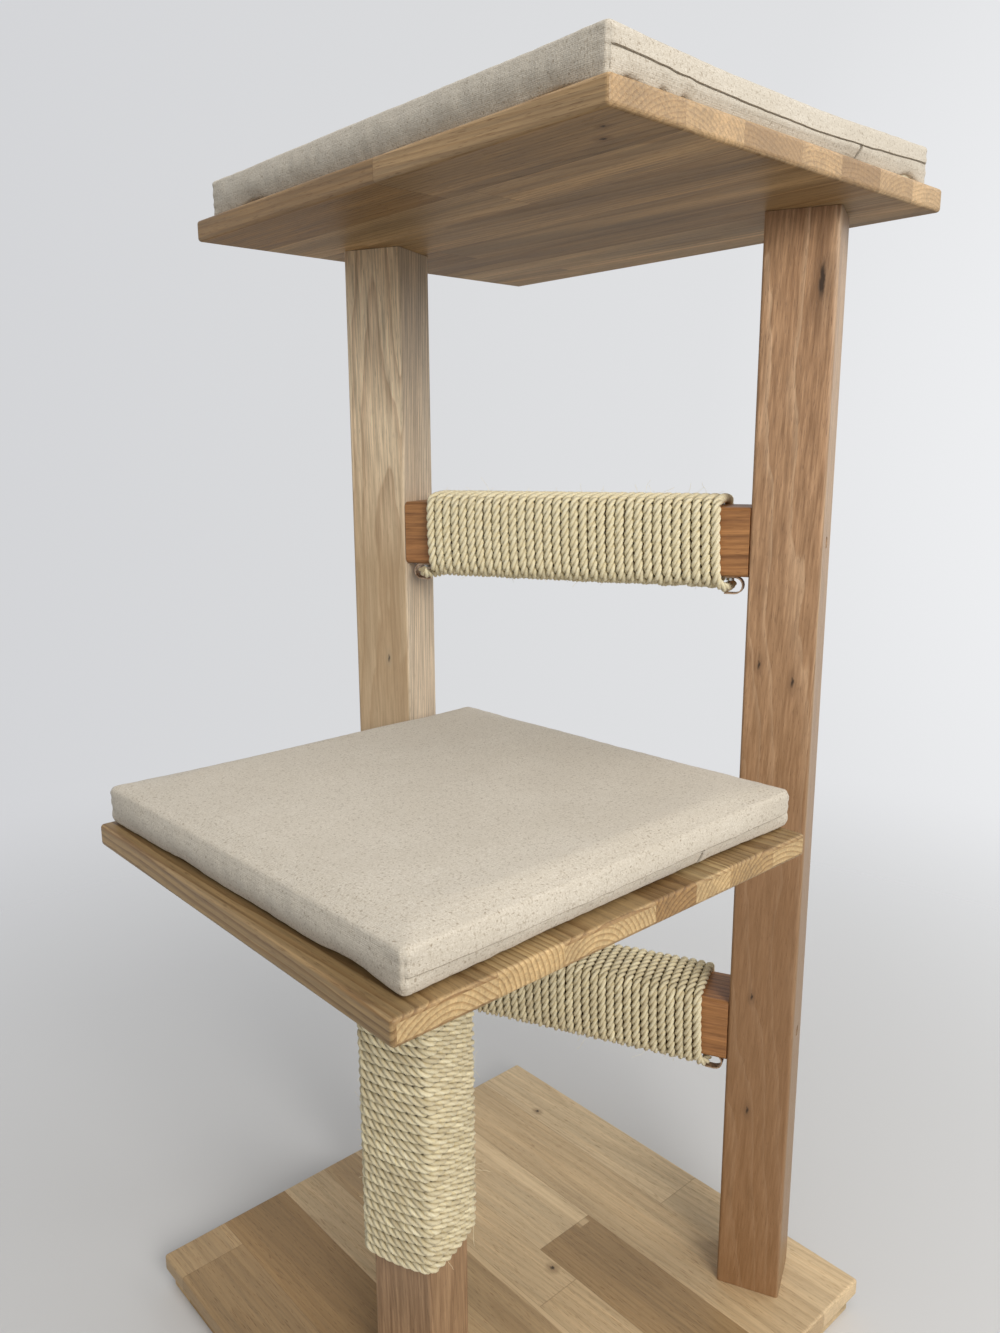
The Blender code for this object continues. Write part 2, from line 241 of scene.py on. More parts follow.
def newGroup(name, inputs, outputs):
    tree = bpy.data.node_groups.new(name, "ShaderNodeTree")
    for label, kind in inputs.items():
        tree.interface.new_socket(label, in_out="INPUT", socket_type="NodeSocket" + kind)
    for label in outputs:
        tree.interface.new_socket(label, in_out="OUTPUT", socket_type="NodeSocketFloat")
    return tree, tree.nodes.new("NodeGroupInput").outputs, tree.nodes.new("NodeGroupOutput")


def newMaterial(name, **constants):
    material = bpy.data.materials.new(name)
    material.use_nodes = True
    shader = material.node_tree.nodes["Principled BSDF"]
    for key, value in constants.items():
        shader.inputs[key.replace("_", " ")].default_value = value
    return material, material.node_tree, shader


# camera, floor, light

cameraSetup = {
    "place": (-0.573, -0.661, 0.848),
    "heading": 42.04,         # degrees right of +Y
    "dip": 11.82,
    "roll": -0.27,
    "lens": 27.66,
    "sensor": 36,
}


def setCamera(setup):
    data = bpy.data.cameras.new("photoCamera")
    data.lens = setup["lens"]
    data.sensor_width = setup["sensor"]
    camera = inScene("photoCamera", data)
    camera.matrix_world = (Matrix.Translation(setup["place"])
                           @ Matrix.Rotation(math.radians(-setup["heading"]), 4, "Z")
                           @ Matrix.Rotation(math.radians(90 - setup["dip"]), 4, "X")
                           @ Matrix.Rotation(math.radians(setup["roll"]), 4, "Z"))
    bpy.context.scene.camera = camera


roomSetup = {
    # the wall behind, by its heading: 0.5 is straight along Y, 1 is straight along X; its gradient, brighter
    # towards +X, is a painted light falloff
    "wall": ((0.62, linear(211, 212, 215)), (0.80, linear(218, 219, 221)), (0.90, linear(224, 225, 227)),
             (0.965, linear(238, 239, 241))),
    "floor": linear(212, 212, 212),
    "fade": (0.25, 2.0),      # the floor fades into the wall between these distances
    "rim": 0.2,               # the floor goes on this far past the fade
    "fill": 0.42,
    "fillBelow": 0.15,
    "fillTint": (0.98, 0.99, 1.0),
    "horizon": (0.47, 0.51),  # the fill changes between these heights, where 0.5 is level
    "aim": (0, 0, 0.6),       # the lamps point here
    "lamps": (
        # name, place, width, watts, tint
        ("windowLamp", (-0.8, -2.8, 1.9), 1.8, 71, (1.0, 0.965, 0.915)),
        ("topLamp", (-0.6, -0.3, 3.2), 2.2, 15, (1.0, 0.985, 0.96)),
        ("sideLamp", (1.5, -1.5, 2.1), 1.6, 16, (1.0, 0.985, 0.96)),
    ),
}


def setWorld(setup):
    world = bpy.data.worlds.new("studio")
    bpy.context.scene.world = world
    world.use_nodes = True
    tree = world.node_tree
    tree.nodes.clear()
    path = put(tree, "LightPath").outputs
    seen = gather(tree, "MAXIMUM", [path[f"Is {ray} Ray"] for ray in ("Glossy", "Transmission", "Camera")])
    heading = split3(tree, put(tree, "TexCoord").outputs["Generated"])
    sideways, upwards = (calc(tree, "MULTIPLY_ADD", heading[axis], 0.5, 0.5) for axis in "XZ")
    wall = ramp(tree, sideways, setup["wall"])
    low, high = setup["horizon"]
    above, below = (toned(setup["fillTint"], setup[key]) for key in ("fill", "fillBelow"))
    fill = ramp(tree, upwards, [(low, below), (high, above)])
    background = put(tree, "Background", {"Color": mixColor(tree, seen, fill, wall), "Strength": 1.0})
    put(tree, "OutputWorld", {"Surface": background.outputs[0]}, is_active_output=True)


def setRoom(setup):
    bpy.context.scene.view_settings.view_transform = "Standard"
    setWorld(setup)
    for name, place, width, watts, color in setup["lamps"]:
        light = bpy.data.lights.new(name, "AREA")
        light.shape = "DISK"
        light.size = width
        light.energy = watts
        light.color = color
        lamp = inScene(name, light)
        lamp.location = place
        lamp.rotation_euler = (Vector(setup["aim"]) - Vector(place)).to_track_quat("-Z", "Y").to_euler()

    clearSelection()
    near, far = setup["fade"]
    bpy.ops.mesh.primitive_circle_add(vertices=96, radius=far + setup["rim"], fill_type="NGON")
    floor = bpy.context.object
    floor.name = "floor"
    material, tree, shader = newMaterial("paleFloor", Roughness=0.85, Base_Color=(*setup["floor"], 1))
    fade = span(tree, length3(tree, objectPlace(tree)), near, far, interpolation_type="SMOOTHSTEP")
    clear = put(tree, "BsdfTransparent")
    mixed = put(tree, "MixShader", {0: fade, 1: shader.outputs[0], 2: clear.outputs[0]})
    feed(tree, tree.nodes["Material Output"], Surface=mixed.outputs[0])
    floor.data.materials.append(material)


setCamera(cameraSetup)
setRoom(roomSetup)
print("camera, floor and light set")


# timber

woodFinish = {
    "dark": 0.45,             # pores and knots, as a share of the middle tone
    "betweenFibres": 0.22,    # how much of the dark tone shows between the fibres
    # strength of the painted shade at a post's foot
    "footStrength": 0.75,
    "knotHalo": 0.45,
    "knotCore": 0.28,
    "roughSwing": 0.10,
    "bump": (0.35, 0.0004),   # strength and distance
}


def makeGrainGroup():
    # one log: growth rings round the local Z axis, fibres and pores along it
    tree, given, made = newGroup(
        "woodGrain",
        {"Vector": "Vector", "Ring Spacing": "Float", "Wobble": "Float", "Seed": "Float"},
        ("Rings", "Fibres", "Pores", "Tone", "Height"))
    place = move3(tree, "ADD", given["Vector"], scale3(tree, (1.7, 2.9, 4.3), given["Seed"]))
    bend = scale3(tree, swirl(tree, place, (14, 14, 3.0), 1.5), given["Wobble"])
    waver = scale3(tree, swirl(tree, place, (90, 90, 14), 2.0), times(tree, given["Wobble"], 0.12))
    bent = move3(tree, "ADD", move3(tree, "ADD", given["Vector"], bend), waver)
    radius = length3(tree, move3(tree, "MULTIPLY", bent, (1, 1, 0)))
    phase = calc(tree, "FRACT", calc(tree, "DIVIDE", radius, given["Ring Spacing"]))
    rings = ramp(tree, phase, [(0.0, 0.1), (0.08, 0.0), (0.5, 0.18), (0.82, 0.8), (0.93, 1.0), (1.0, 0.12)])
    fibres = climb(tree, grain(tree, place, (420, 420, 9), 4.0, 0.6), 0.3, 0.7)
    pores = climb(tree, grain(tree, place, (1300, 1300, 90), 1.0), 0.60, 0.72)
    tone = climb(tree, grain(tree, place, (30, 30, 2.0)), 0.25, 0.75)
    height = calc(tree, "SUBTRACT", times(tree, fibres, 0.4), times(tree, pores, 0.8))
    feed(tree, made, Rings=rings, Fibres=fibres, Pores=pores, Tone=tone, Height=height)
    return tree


def makeKnotGroup():
    # a small dark knot on a face, long along the local Z axis
    tree, given, made = newGroup(
        "woodKnot",
        {"Vector": "Vector", "Place": "Vector", "Size": "Float", "Stretch": "Float"},
        ("Core", "Halo"))
    away = move3(tree, "SUBTRACT", given["Vector"], given["Place"])
    ragged = move3(tree, "MULTIPLY", swirl(tree, away, (300, 300, 120), 2.0), (0.004, 0.004, 0.006))
    away = move3(tree, "ADD", away, ragged)
    squeeze = join3(tree, 1.0, 1.0, calc(tree, "DIVIDE", 1.0, given["Stretch"]))
    ratio = calc(tree, "DIVIDE", length3(tree, move3(tree, "MULTIPLY", away, squeeze)), given["Size"])
    feed(tree, made, Core=span(tree, ratio, 0.9, 0.35),
         Halo=span(tree, ratio, 3.2, 0.8, interpolation_type="SMOOTHSTEP"))
    return tree


grainGroup = makeGrainGroup()
knotGroup = makeKnotGroup()


def woodAxes(tree, looks, turn):
    # the timber's own axes: Z along the grain, X and Y across it
    return put(tree, "Mapping", {"Vector": objectPlace(tree), "Location": looks["place"], "Rotation": turn},
               vector_type="TEXTURE").outputs[0]


def growWood(tree, looks, place, seed):
    return put(tree, "Group", {"Vector": place, "Ring Spacing": looks["ringSpacing"],
                               "Wobble": looks["wobble"], "Seed": seed}, node_tree=grainGroup).outputs


def addKnots(tree, local, color, looks, dark):
    for place, size, stretch in looks.get("knots", ()):
        knot = put(tree, "Group", {"Vector": local, "Place": place, "Size": size, "Stretch": stretch},
                   node_tree=knotGroup).outputs
        color = tint(tree, color, knot["Halo"], woodFinish["knotHalo"], dark)
        color = mixColor(tree, knot["Core"], color, toned(dark, woodFinish["knotCore"]))
    return color


def finishWood(tree, shader, wood, color, looks):
    swing = woodFinish["roughSwing"]
    rough = calc(tree, "MULTIPLY_ADD", wood["Fibres"], swing, looks["roughness"] - swing / 2)
    feed(tree, shader, Base_Color=color, Roughness=rough)
    addBump(tree, shader, wood["Height"], *woodFinish["bump"])


def timberMaterial(name, looks):
    material, tree, shader = newMaterial(name, Roughness=looks["roughness"])
    local = woodAxes(tree, looks, looks["turn"])
    fromPith = move3(tree, "SUBTRACT", local, (*looks["pith"], 0))
    leaning = put(tree, "Mapping", {"Vector": fromPith, "Rotation": looks["lean"]}).outputs[0]
    wood = growWood(tree, looks, leaning, looks["seed"])
    dark = toned(looks["mid"], woodFinish["dark"])
    color = mixColor(tree, wood["Tone"], looks["pale"], looks["mid"])
    rings = calc(tree, "POWER", wood["Rings"], looks["sharp"])
    color = tint(tree, color, rings, looks["ringStrength"], looks["line"])
    color = tint(tree, color, wood["Fibres"], looks["fibreStrength"], looks["fibre"])
    most = woodFinish["betweenFibres"]
    color = mixColor(tree, calc(tree, "MULTIPLY_ADD", wood["Fibres"], -most, most), color, dark)
    color = tint(tree, color, wood["Pores"], looks["poreStrength"], dark)
    color = scale3(tree, color, swung(tree, wood["Fibres"], looks["fibreSwing"]))
    if "foot" in looks:
        # painted shade, darker towards the foot, and painted light on the face on the local +X side: painted
        # shade there on the left post, a bluish painted sheen on the right post
        split = split3(tree, local)
        low = span(tree, split["Z"], *looks["footRange"])
        # mask of the local +X side face, which gets painted light
        paintedSideShadeAndSheen = span(tree, split["X"], timberHalf - 0.0020, timberHalf - 0.0002)
        # on the left post the painted foot shade leaves the side face alone
        spared = calc(tree, "MULTIPLY_ADD", paintedSideShadeAndSheen, looks["paintedFootShadeOnSide"] - 1, 1)
        color = tint(tree, color, times(tree, low, spared), woodFinish["footStrength"], looks["foot"])
        # painted shade or painted sheen on that side face
        color = mixColor(tree, paintedSideShadeAndSheen, color, looks["paintedSideShadeAndSheen"], "MULTIPLY")
    color = addKnots(tree, local, color, looks, dark)
    finishWood(tree, shader, wood, color, looks)
    return material


barLooks = {
    # both crossbars
    "turn": (0, math.pi / 2, tallTurn), "ringSpacing": 0.006, "wobble": 0.02, "sharp": 1.6, "roughness": 0.5,
    "pale": linear(176, 125, 75), "mid": linear(156, 104, 59), "line": linear(106, 64, 34),
    "fibre": linear(198, 148, 98), "ringStrength": 0.75, "fibreStrength": 0.35, "poreStrength": 0.4,
    "fibreSwing": 0.40,
}

timberLooks = {
    # knots: place in the timber's own axes, size, stretch along the grain
    "tall_post_left": {
        "place": (0.051, 0.192, 0.536), "turn": (0, 0, tallTurn), "pith": (0.012, 0.062),
        "lean": (0.03, 0.02, 0), "ringSpacing": 0.0042, "wobble": 0.022, "sharp": 1.4, "seed": 1.3,
        "roughness": 0.5, "pale": linear(254, 235, 203), "mid": linear(246, 219, 181),
        "line": linear(156, 114, 78), "fibre": linear(246, 226, 196),
        "ringStrength": 0.60, "fibreStrength": 0.30, "poreStrength": 0.5, "fibreSwing": 0.60,
        # painted shade at the foot, and painted shade on the local +X side face
        "foot": linear(170, 142, 107), "footRange": (0.34, 0.20), "paintedSideShadeAndSheen": (0.72, 0.73, 0.77),
        "paintedFootShadeOnSide": 0.0, "knots": (((0.008, -0.03, 0.108), 0.0016, 3.0),),
    },
    "tall_post_right": {
        "place": (0.213, -0.167, 0.536), "turn": (0, 0, tallTurn), "pith": (-0.055, 0.085),
        "lean": (0.06, -0.05, 0), "ringSpacing": 0.0085, "wobble": 0.05, "sharp": 3.0, "seed": 4.1,
        "roughness": 0.48, "pale": linear(194, 154, 116), "mid": linear(166, 124, 87),
        "line": linear(226, 190, 154), "fibre": linear(214, 177, 142),
        "ringStrength": 0.80, "fibreStrength": 0.40, "poreStrength": 0.45, "fibreSwing": 0.40,
        # painted shade at the foot, and a bluish painted sheen on the local +X side face
        "foot": linear(132, 95, 58), "footRange": (0.35, -0.10), "paintedSideShadeAndSheen": (0.90, 1.0, 1.08), "paintedFootShadeOnSide": 1.0,
        "knots": (((0.018, -0.03, 0.445), 0.0035, 6.0), ((-0.017, -0.03, 0.13), 0.0016, 3.0),
                  ((0.012, -0.03, 0.117), 0.0018, 3.0), ((-0.009, -0.03, -0.185), 0.0016, 2.5),
                  ((-0.008, -0.03, -0.303), 0.0018, 2.5)),
    },
    "front_post": {
        "place": (-0.101, -0.030, 0.286), "turn": (0, 0, frontTurn), "pith": (0.03, 0.07),
        "lean": (0.03, 0.03, 0), "ringSpacing": 0.006, "wobble": 0.018, "sharp": 1.0, "seed": 7.7,
        "roughness": 0.52, "pale": linear(163, 132, 100), "mid": linear(144, 112, 82),
        "line": linear(112, 80, 54), "fibre": linear(182, 152, 120),
        "ringStrength": 0.45, "fibreStrength": 0.4, "poreStrength": 0.35, "fibreSwing": 0.35,
    },
    "crossbar_upper": {
        **barLooks, "place": (0.132, 0.0125, 0.771), "pith": (0.05, 0.06), "lean": (0.03, 0.04, 0),
        "seed": 2.2,
    },
    "crossbar_lower": {
        **barLooks, "place": (0.132, 0.0125, 0.309), "pith": (-0.04, 0.07), "lean": (-0.03, 0.03, 0),
        "seed": 5.2,
    },
}

for name, looks in timberLooks.items():
    dress(timberMaterial(name + "Timber", looks), name)
print("posts and crossbars finished")


# boards glued up from staves that run along Y

boardBuild = {
    "seamHalf": 0.00035,      # half the width of the line between two staves
    "jointHalf": 0.0006,      # and of the line where two lengths of one stave meet
    "seamStrength": 0.32,
    "pithSpread": (0.09, 0.07),          # how far apart the staves' piths lie, across and down
    "seedSpread": 9.0,
    "toneSwing": -0.38,
    "poreStrength": 0.6,
    "grainTint": (0.52, 0.42, 0.30),     # what rings and pores multiply the wood by
    "sapwood": 1.12,
    "raggedEdge": 0.004,
    "faces": (0.0080, 0.0088),           # from the place's level to just inside a shelf's faces
    # light and dark streaks of the painted shade on a board's underside
    "paintedUnderShadeStreaks": (1.25, 0.72),
    "shine": 0.5, "shineLost": 0.42,     # on the raw underside
}

boardLooks = {
    # staves: right edge in mm from the board's left edge, tone,
    # joint in mm from the far edge (0 for none), tone past the joint
    # streaks: place and width in mm, start and stop as shares of the length, strength
    "base": {
        "nodes": ("base_board_lower", "base_board_upper"), "place": (0.029, 0.003, 0.018), "size": (0.5, 0.5),
        "staves": ((67, 0.72, 42, 0.85), (140, 0.95, 0, 0), (192, 0.35, 250, 0.62), (241, 0.68, 0, 0),
                   (292, 0.30, 310, 0.42), (365, 0.16, 258, 0.84), (437, 0.42, 0, 0), (500, 0.10, 300, 0.26)),
        "pale": linear(224, 200, 161), "dark": linear(146, 116, 75), "line": linear(116, 86, 52),
        "ringSpacing": 0.0026, "ringStrength": 0.24, "wobble": 0.009, "skew": 0.05, "pithDeep": 0.05,
        # below: painted shade on the underside
        "roughness": 0.5, "seed": 0.0, "fibreSwing": 0.30, "below": (0.9, 0.9, 0.9),
        "streaks": ((240, 8, 0.0, 1.0, 0.5), (355, 16, 0.47, 1.0, 0.45)),
        "knots": (((0.034, -0.0185, -0.034), 0.0030, 1.2), ((0.199, -0.0185, 0.158), 0.0026, 1.3)),
    },
    "middle": {
        "nodes": ("shelf_middle",), "place": (-0.087, -0.057, 0.545), "size": (0.4, 0.4),
        "staves": ((76, 0.66, 0, 0), (131, 0.50, 180, 0.4), (218, 0.62, 0, 0), (262, 0.60, 150, 0.92),
                   (302, 0.28, 0, 0), (356, 0.65, 230, 0.66), (400, 0.60, 0, 0)),
        "pale": linear(222, 194, 144), "dark": linear(146, 112, 68), "line": linear(118, 84, 48),
        "ringSpacing": 0.0040, "ringStrength": 0.88, "wobble": 0.012, "skew": 0.10, "pithDeep": 0.012,
        # below: painted shade on the underside
        "roughness": 0.5, "seed": 3.0, "fibreSwing": 0.50, "below": (0.88, 0.86, 0.82),
        # above: painted shade on the top face
        "above": (0.66, 0.65, 0.62),
    },
    "top": {
        "nodes": ("shelf_top",), "place": (0.087, 0.007, 1.045), "size": (0.4, 0.5),
        "staves": ((68, 0.85, 275, 0.60), (128, 0.34, 305, 0.45), (194, 0.50, 0, 0), (246, 0.72, 105, 0.5),
                   (300, 0.62, 0, 0), (350, 0.22, 0, 0), (400, 0.44, 118, 0.3)),
        "pale": linear(212, 181, 138), "dark": linear(142, 110, 70), "line": linear(116, 84, 50),
        "ringSpacing": 0.0032, "ringStrength": 0.46, "wobble": 0.012, "skew": 0.07, "pithDeep": 0.025,
        # below: painted shade on the underside
        "roughness": 0.5, "seed": 6.0, "fibreSwing": 0.50, "below": (0.88, 0.86, 0.84),
        "knots": (((-0.155, 0.009, -0.205), 0.0028, 1.2), ((-0.174, 0.009, -0.222), 0.0020, 1.2)),
    },
}


def findStave(tree, looks, across, height):
    # the stave a point lies in: its tone, the middle of its width, the seams, and chance values of its own
    width, length = looks["size"]
    staves = looks["staves"]
    count = len(staves)
    edges = [stave[0] / 1000 - width / 2 for stave in staves]
    index = gather(tree, "ADD", [calc(tree, "GREATER_THAN", across, edge) for edge in edges[:-1]])
    seams = [calc(tree, "COMPARE", across, edge, boardBuild["seamHalf"]) for edge in edges[:-1]]
    fac = calc(tree, "DIVIDE", calc(tree, "ADD", index, 0.5), float(count))
    toneStops, placeStops = [], []
    left = -width / 2
    for number, right in enumerate(edges):
        tone, joint, toneAfter = staves[number][1:]
        jointPlace = 1 - joint / 1000 / length if joint else 0.0
        toneStops.append((number / count, (tone, jointPlace, toneAfter)))
        placeStops.append((number / count, (right + left) / 2 / width + 0.5))
        left = right
    tones = put(tree, "SeparateColor", {0: ramp(tree, fac, toneStops, "CONSTANT")}).outputs
    middle = times(tree, calc(tree, "SUBTRACT", ramp(tree, fac, placeStops, "CONSTANT"), 0.5), width)
    past = calc(tree, "LESS_THAN", height, tones["Green"])
    tone = put(tree, "Mix", {0: past, 2: tones["Red"], 3: tones["Blue"]}, data_type="FLOAT").outputs[0]
    seams.append(calc(tree, "COMPARE", height, tones["Green"], boardBuild["jointHalf"] / length))
    cell = join3(tree, index, past, looks["seed"])
    chance = put(tree, "TexWhiteNoise", {0: cell}, noise_dimensions="3D").outputs["Color"]
    return tone, middle, gather(tree, "MAXIMUM", seams), put(tree, "SeparateColor", {0: chance}).outputs


def boardMaterial(name, looks):
    material, tree, shader = newMaterial(name, Roughness=looks["roughness"])
    local = woodAxes(tree, looks, (-math.pi / 2, 0, 0))
    split = split3(tree, local)
    across, along = split["X"], split["Z"]
    width, length = looks["size"]
    height = calc(tree, "MULTIPLY_ADD", along, 1 / length, 0.5)
    tone, middle, seam, chance = findStave(tree, looks, across, height)
    spreadAcross, spreadDown = boardBuild["pithSpread"]
    aside = times(tree, calc(tree, "SUBTRACT", chance["Red"], 0.5), spreadAcross)
    pithAcross = calc(tree, "ADD", middle, aside)
    pithDown = calc(tree, "MULTIPLY_ADD", chance["Green"], spreadDown, looks["pithDeep"])
    fromPith = move3(tree, "SUBTRACT", local, join3(tree, pithAcross, pithDown, 0.0))
    skew = looks["skew"]
    leans = [times(tree, along, calc(tree, "MULTIPLY_ADD", chance[channel], skew, -skew / 2))
             for channel in ("Blue", "Red")]
    seed = calc(tree, "MULTIPLY_ADD", chance["Blue"], boardBuild["seedSpread"], looks["seed"])
    wood = growWood(tree, looks, move3(tree, "ADD", fromPith, join3(tree, *leans, 0.0)), seed)
    color = mixColor(tree, tone, looks["pale"], looks["dark"])
    gain = times(tree, swung(tree, wood["Fibres"], looks["fibreSwing"]),
                 swung(tree, wood["Tone"], boardBuild["toneSwing"]))
    color = scale3(tree, color, gain)
    for output, strength in (("Rings", looks["ringStrength"]), ("Pores", boardBuild["poreStrength"])):
        lines = times(tree, wood[output], strength)
        color = mixColor(tree, lines, color, boardBuild["grainTint"], "MULTIPLY")
    for place, wide, start, stop, strength in looks.get("streaks", ()):
        # a pale sapwood streak, with a ragged edge
        ragged = calc(tree, "MULTIPLY_ADD", wood["Fibres"], boardBuild["raggedEdge"], across)
        off = calc(tree, "ABSOLUTE", calc(tree, "SUBTRACT", ragged, place / 1000 - width / 2))
        band = gather(tree, "MULTIPLY", [span(tree, off, wide / 2000, wide / 4000),
                                         calc(tree, "GREATER_THAN", height, start),
                                         calc(tree, "LESS_THAN", height, stop)])
        color = tint(tree, color, band, strength, toned(looks["pale"], boardBuild["sapwood"]))
    color = addKnots(tree, local, color, looks, looks["line"])
    color = tint(tree, color, seam, boardBuild["seamStrength"], looks["line"])
    # the underside gets painted shade, a little darker and more streaked along the wood's own tone; it is
    # also raw, with next to no shine
    start, stop = boardBuild["faces"]
    under = span(tree, split["Y"], start, stop)
    tones = [toned(looks["below"], part) for part in boardBuild["paintedUnderShadeStreaks"]]
    streakedUnderShade = mixColor(tree, wood["Tone"], *tones)
    color = mixColor(tree, under, color, streakedUnderShade, "MULTIPLY")
    shine = calc(tree, "MULTIPLY_ADD", under, -boardBuild["shineLost"], boardBuild["shine"])
    feed(tree, shader, Specular_IOR_Level=shine)
    if "above" in looks:
        # and one shelf's top face gets painted shade, darker
        color = mixColor(tree, span(tree, split["Y"], -start, -stop), color, looks["above"], "MULTIPLY")
    finishWood(tree, shader, wood, color, looks)
    return material


for name, looks in boardLooks.items():
    dress(boardMaterial(name + "Oak", looks), *looks["nodes"])
print("boards finished")


# rope

ropeLooks = {
    "diameter": 0.0088,
    "lay": 0.0255,            # length of one full twist
    "step": 0.0023,           # from one point of the path to the next
    "strands": 3,
    "spread": 0.60,           # strand centre and strand radius, as shares of the rope's radius
    "strand": 0.60,
    "pointsPerStrand": 6,
    "clear": 0.0003,          # between rope and timber
    "tailLift": 0.0050,       # a tail lies over the turn beside it, and this much along the timber
    "tailStep": 0.0049,
    "tailStart": (0.016, 0.012),      # it leaves the winding over these lengths, at the start and the end
    "fibre": 0.00011,         # radius of a stray fibre
    "fibreLength": (0.004, 0.010), "longShare": 0.12,         # these are twice as long
    "fibreRoot": 0.42, "fibreBend": 0.35, "fibrePoints": 5,
    "bareTails": 60,          # points at each end of the path without fibres
    "pale": linear(255, 249, 222), "straw": linear(237, 220, 170), "deep": linear(126, 102, 56),
    "grooveSharp": 5.0, "grooveShade": 0.68,
}


def ropeMaterial(looks, length, stainAndShade):
    material, tree, shader = newMaterial("sisalRope", Roughness=0.7, Sheen_Weight=0.15,
                                         Specular_IOR_Level=0.35)
    spot = split3(tree, put(tree, "TexCoord").outputs["UV"])
    along, around = times(tree, spot["X"], length), spot["Y"]
    strands = times(tree, around, float(looks["strands"]))
    strand = calc(tree, "FLOOR", strands)
    lobe = calc(tree, "MULTIPLY_ADD", calc(tree, "FRACT", strands), 2.0, -1.0)
    groove = calc(tree, "POWER", calc(tree, "ABSOLUTE", lobe), looks["grooveSharp"])
    unlaid = calc(tree, "ADD", around, calc(tree, "DIVIDE", along, looks["lay"]))
    fibres = grain(tree, join3(tree, along, unlaid, strand), (70, 42, 1), 3.0, 0.6)
    tone = grain(tree, join3(tree, along, strand, 0.0), (9, 1, 1))
    color = mixColor(tree, climb(tree, fibres, 0.35, 0.62), looks["straw"], looks["pale"])
    # random dark patches; their strength on each rope is painted shade, none on the upper rope and more on
    # the ropes under the middle shelf
    color = tint(tree, color, climb(tree, tone, 0.3, 0.7), stainAndShade, looks["deep"])
    color = tint(tree, color, groove, looks["grooveShade"], looks["deep"])
    feed(tree, shader, Base_Color=color)
    addBump(tree, shader, fibres, 0.6, 0.0006)
    return material


def fibreMaterial(looks):
    material, tree, shader = newMaterial("sisalFibre", Roughness=0.6)
    tone = grain(tree, objectPlace(tree), (90, 90, 90), 1.0)
    feed(tree, shader, Base_Color=mixColor(tree, tone, looks["pale"], looks["straw"]))
    return material


def newCurve(name, **settings):
    curve = bpy.data.curves.new(name, "CURVE")
    for key, value in settings.items():
        setattr(curve, key, value)
    return curve


def addLine(curve, count):
    spline = curve.splines.new("POLY")
    spline.points.add(count - 1)
    return spline


def ropeProfile(looks):
    # outline of the strands pressed together, as a closed curve
    radius = looks["diameter"] / 2
    centre, strand = looks["spread"] * radius, looks["strand"] * radius
    strands, per = looks["strands"], looks["pointsPerStrand"]
    points = []
    for k in range(strands * per):
        lobeAngle = (k % per) / per * 2 * math.pi / strands - math.pi / strands
        aside = centre * math.sin(lobeAngle)
        reach = centre * math.cos(lobeAngle) + math.sqrt(max(0, strand ** 2 - aside ** 2))
        reach *= radius / (centre + strand)
        angle = 2 * math.pi * k / (strands * per)
        points.append((reach * math.cos(angle), reach * math.sin(angle)))
    curve = newCurve("ropeProfile", dimensions="2D", fill_mode="NONE")
    spline = addLine(curve, len(points))
    for point, (x, y) in zip(spline.points, points):
        point.co = (x, y, 0, 1)
    spline.use_cyclic_u = True
    return inScene("ropeProfile", curve)


def aroundSquare(distance, half, corner, lift, bulge):
    # point on a rounded square, by the distance walked from the middle of its first side
    flat = half - corner
    quarter = 2 * flat + math.pi / 2 * corner
    turn, rest = divmod(distance + flat, quarter)
    if rest < 2 * flat:
        p, q = half + lift + bulge * (1 - (rest / flat - 1) ** 2), rest - flat
    else:
        angle, reach = (rest - 2 * flat) / corner, corner + lift
        p, q = flat + reach * math.cos(angle), flat + reach * math.sin(angle)
    for _ in range(int(turn) % 4):
        p, q = -q, p
    return p, q


barRope = {
    # the rope on both crossbars; low and high are its ends along the timber, from the centre
    "turn": tallTurn, "upright": False, "coreRound": 0.005, "low": -0.1405, "high": 0.1405, "turns": 32.75,
    "tailBack": 0.066, "tailOn": 0.046, "bulge": 0.0015,
}

ropeWinds = {
    # the dark patches' strength is painted shade from the middle shelf on the ropes under it
    "rope_upper": {
        **barRope, "centre": (0.132, 0.0125, 0.771), "slack": 0.0035, "seed": 3, "hairs": 110, "stainAndShade": 0.0,
    },
    "rope_lower": {
        **barRope, "centre": (0.132, 0.0125, 0.309), "slack": 0.003, "seed": 8, "hairs": 80, "stainAndShade": 0.46,
    },
    "rope_front": {
        "centre": (-0.101, -0.030, 0.036), "turn": frontTurn, "upright": True, "coreRound": 0.003,
        "low": 0.1360, "high": 0.4952, "turns": 41.0, "tailBack": 0.030, "tailOn": 0.0, "bulge": 0.0022,
        "slack": 0.0, "seed": 5, "hairs": 240, "stainAndShade": 0.55,
    },
}


def windingAxes(wind):
    # along the timber, and two ways across it; the rope winds from the second towards the third
    turn = Matrix.Rotation(wind["turn"], 3, "Z")
    if wind["upright"]:
        return turn @ Vector((0, 0, 1)), turn @ Vector((0, 1, 0)), turn @ Vector((-1, 0, 0))
    return turn @ Vector((1, 0, 0)), turn @ Vector((0, 1, 0)), Vector((0, 0, 1))


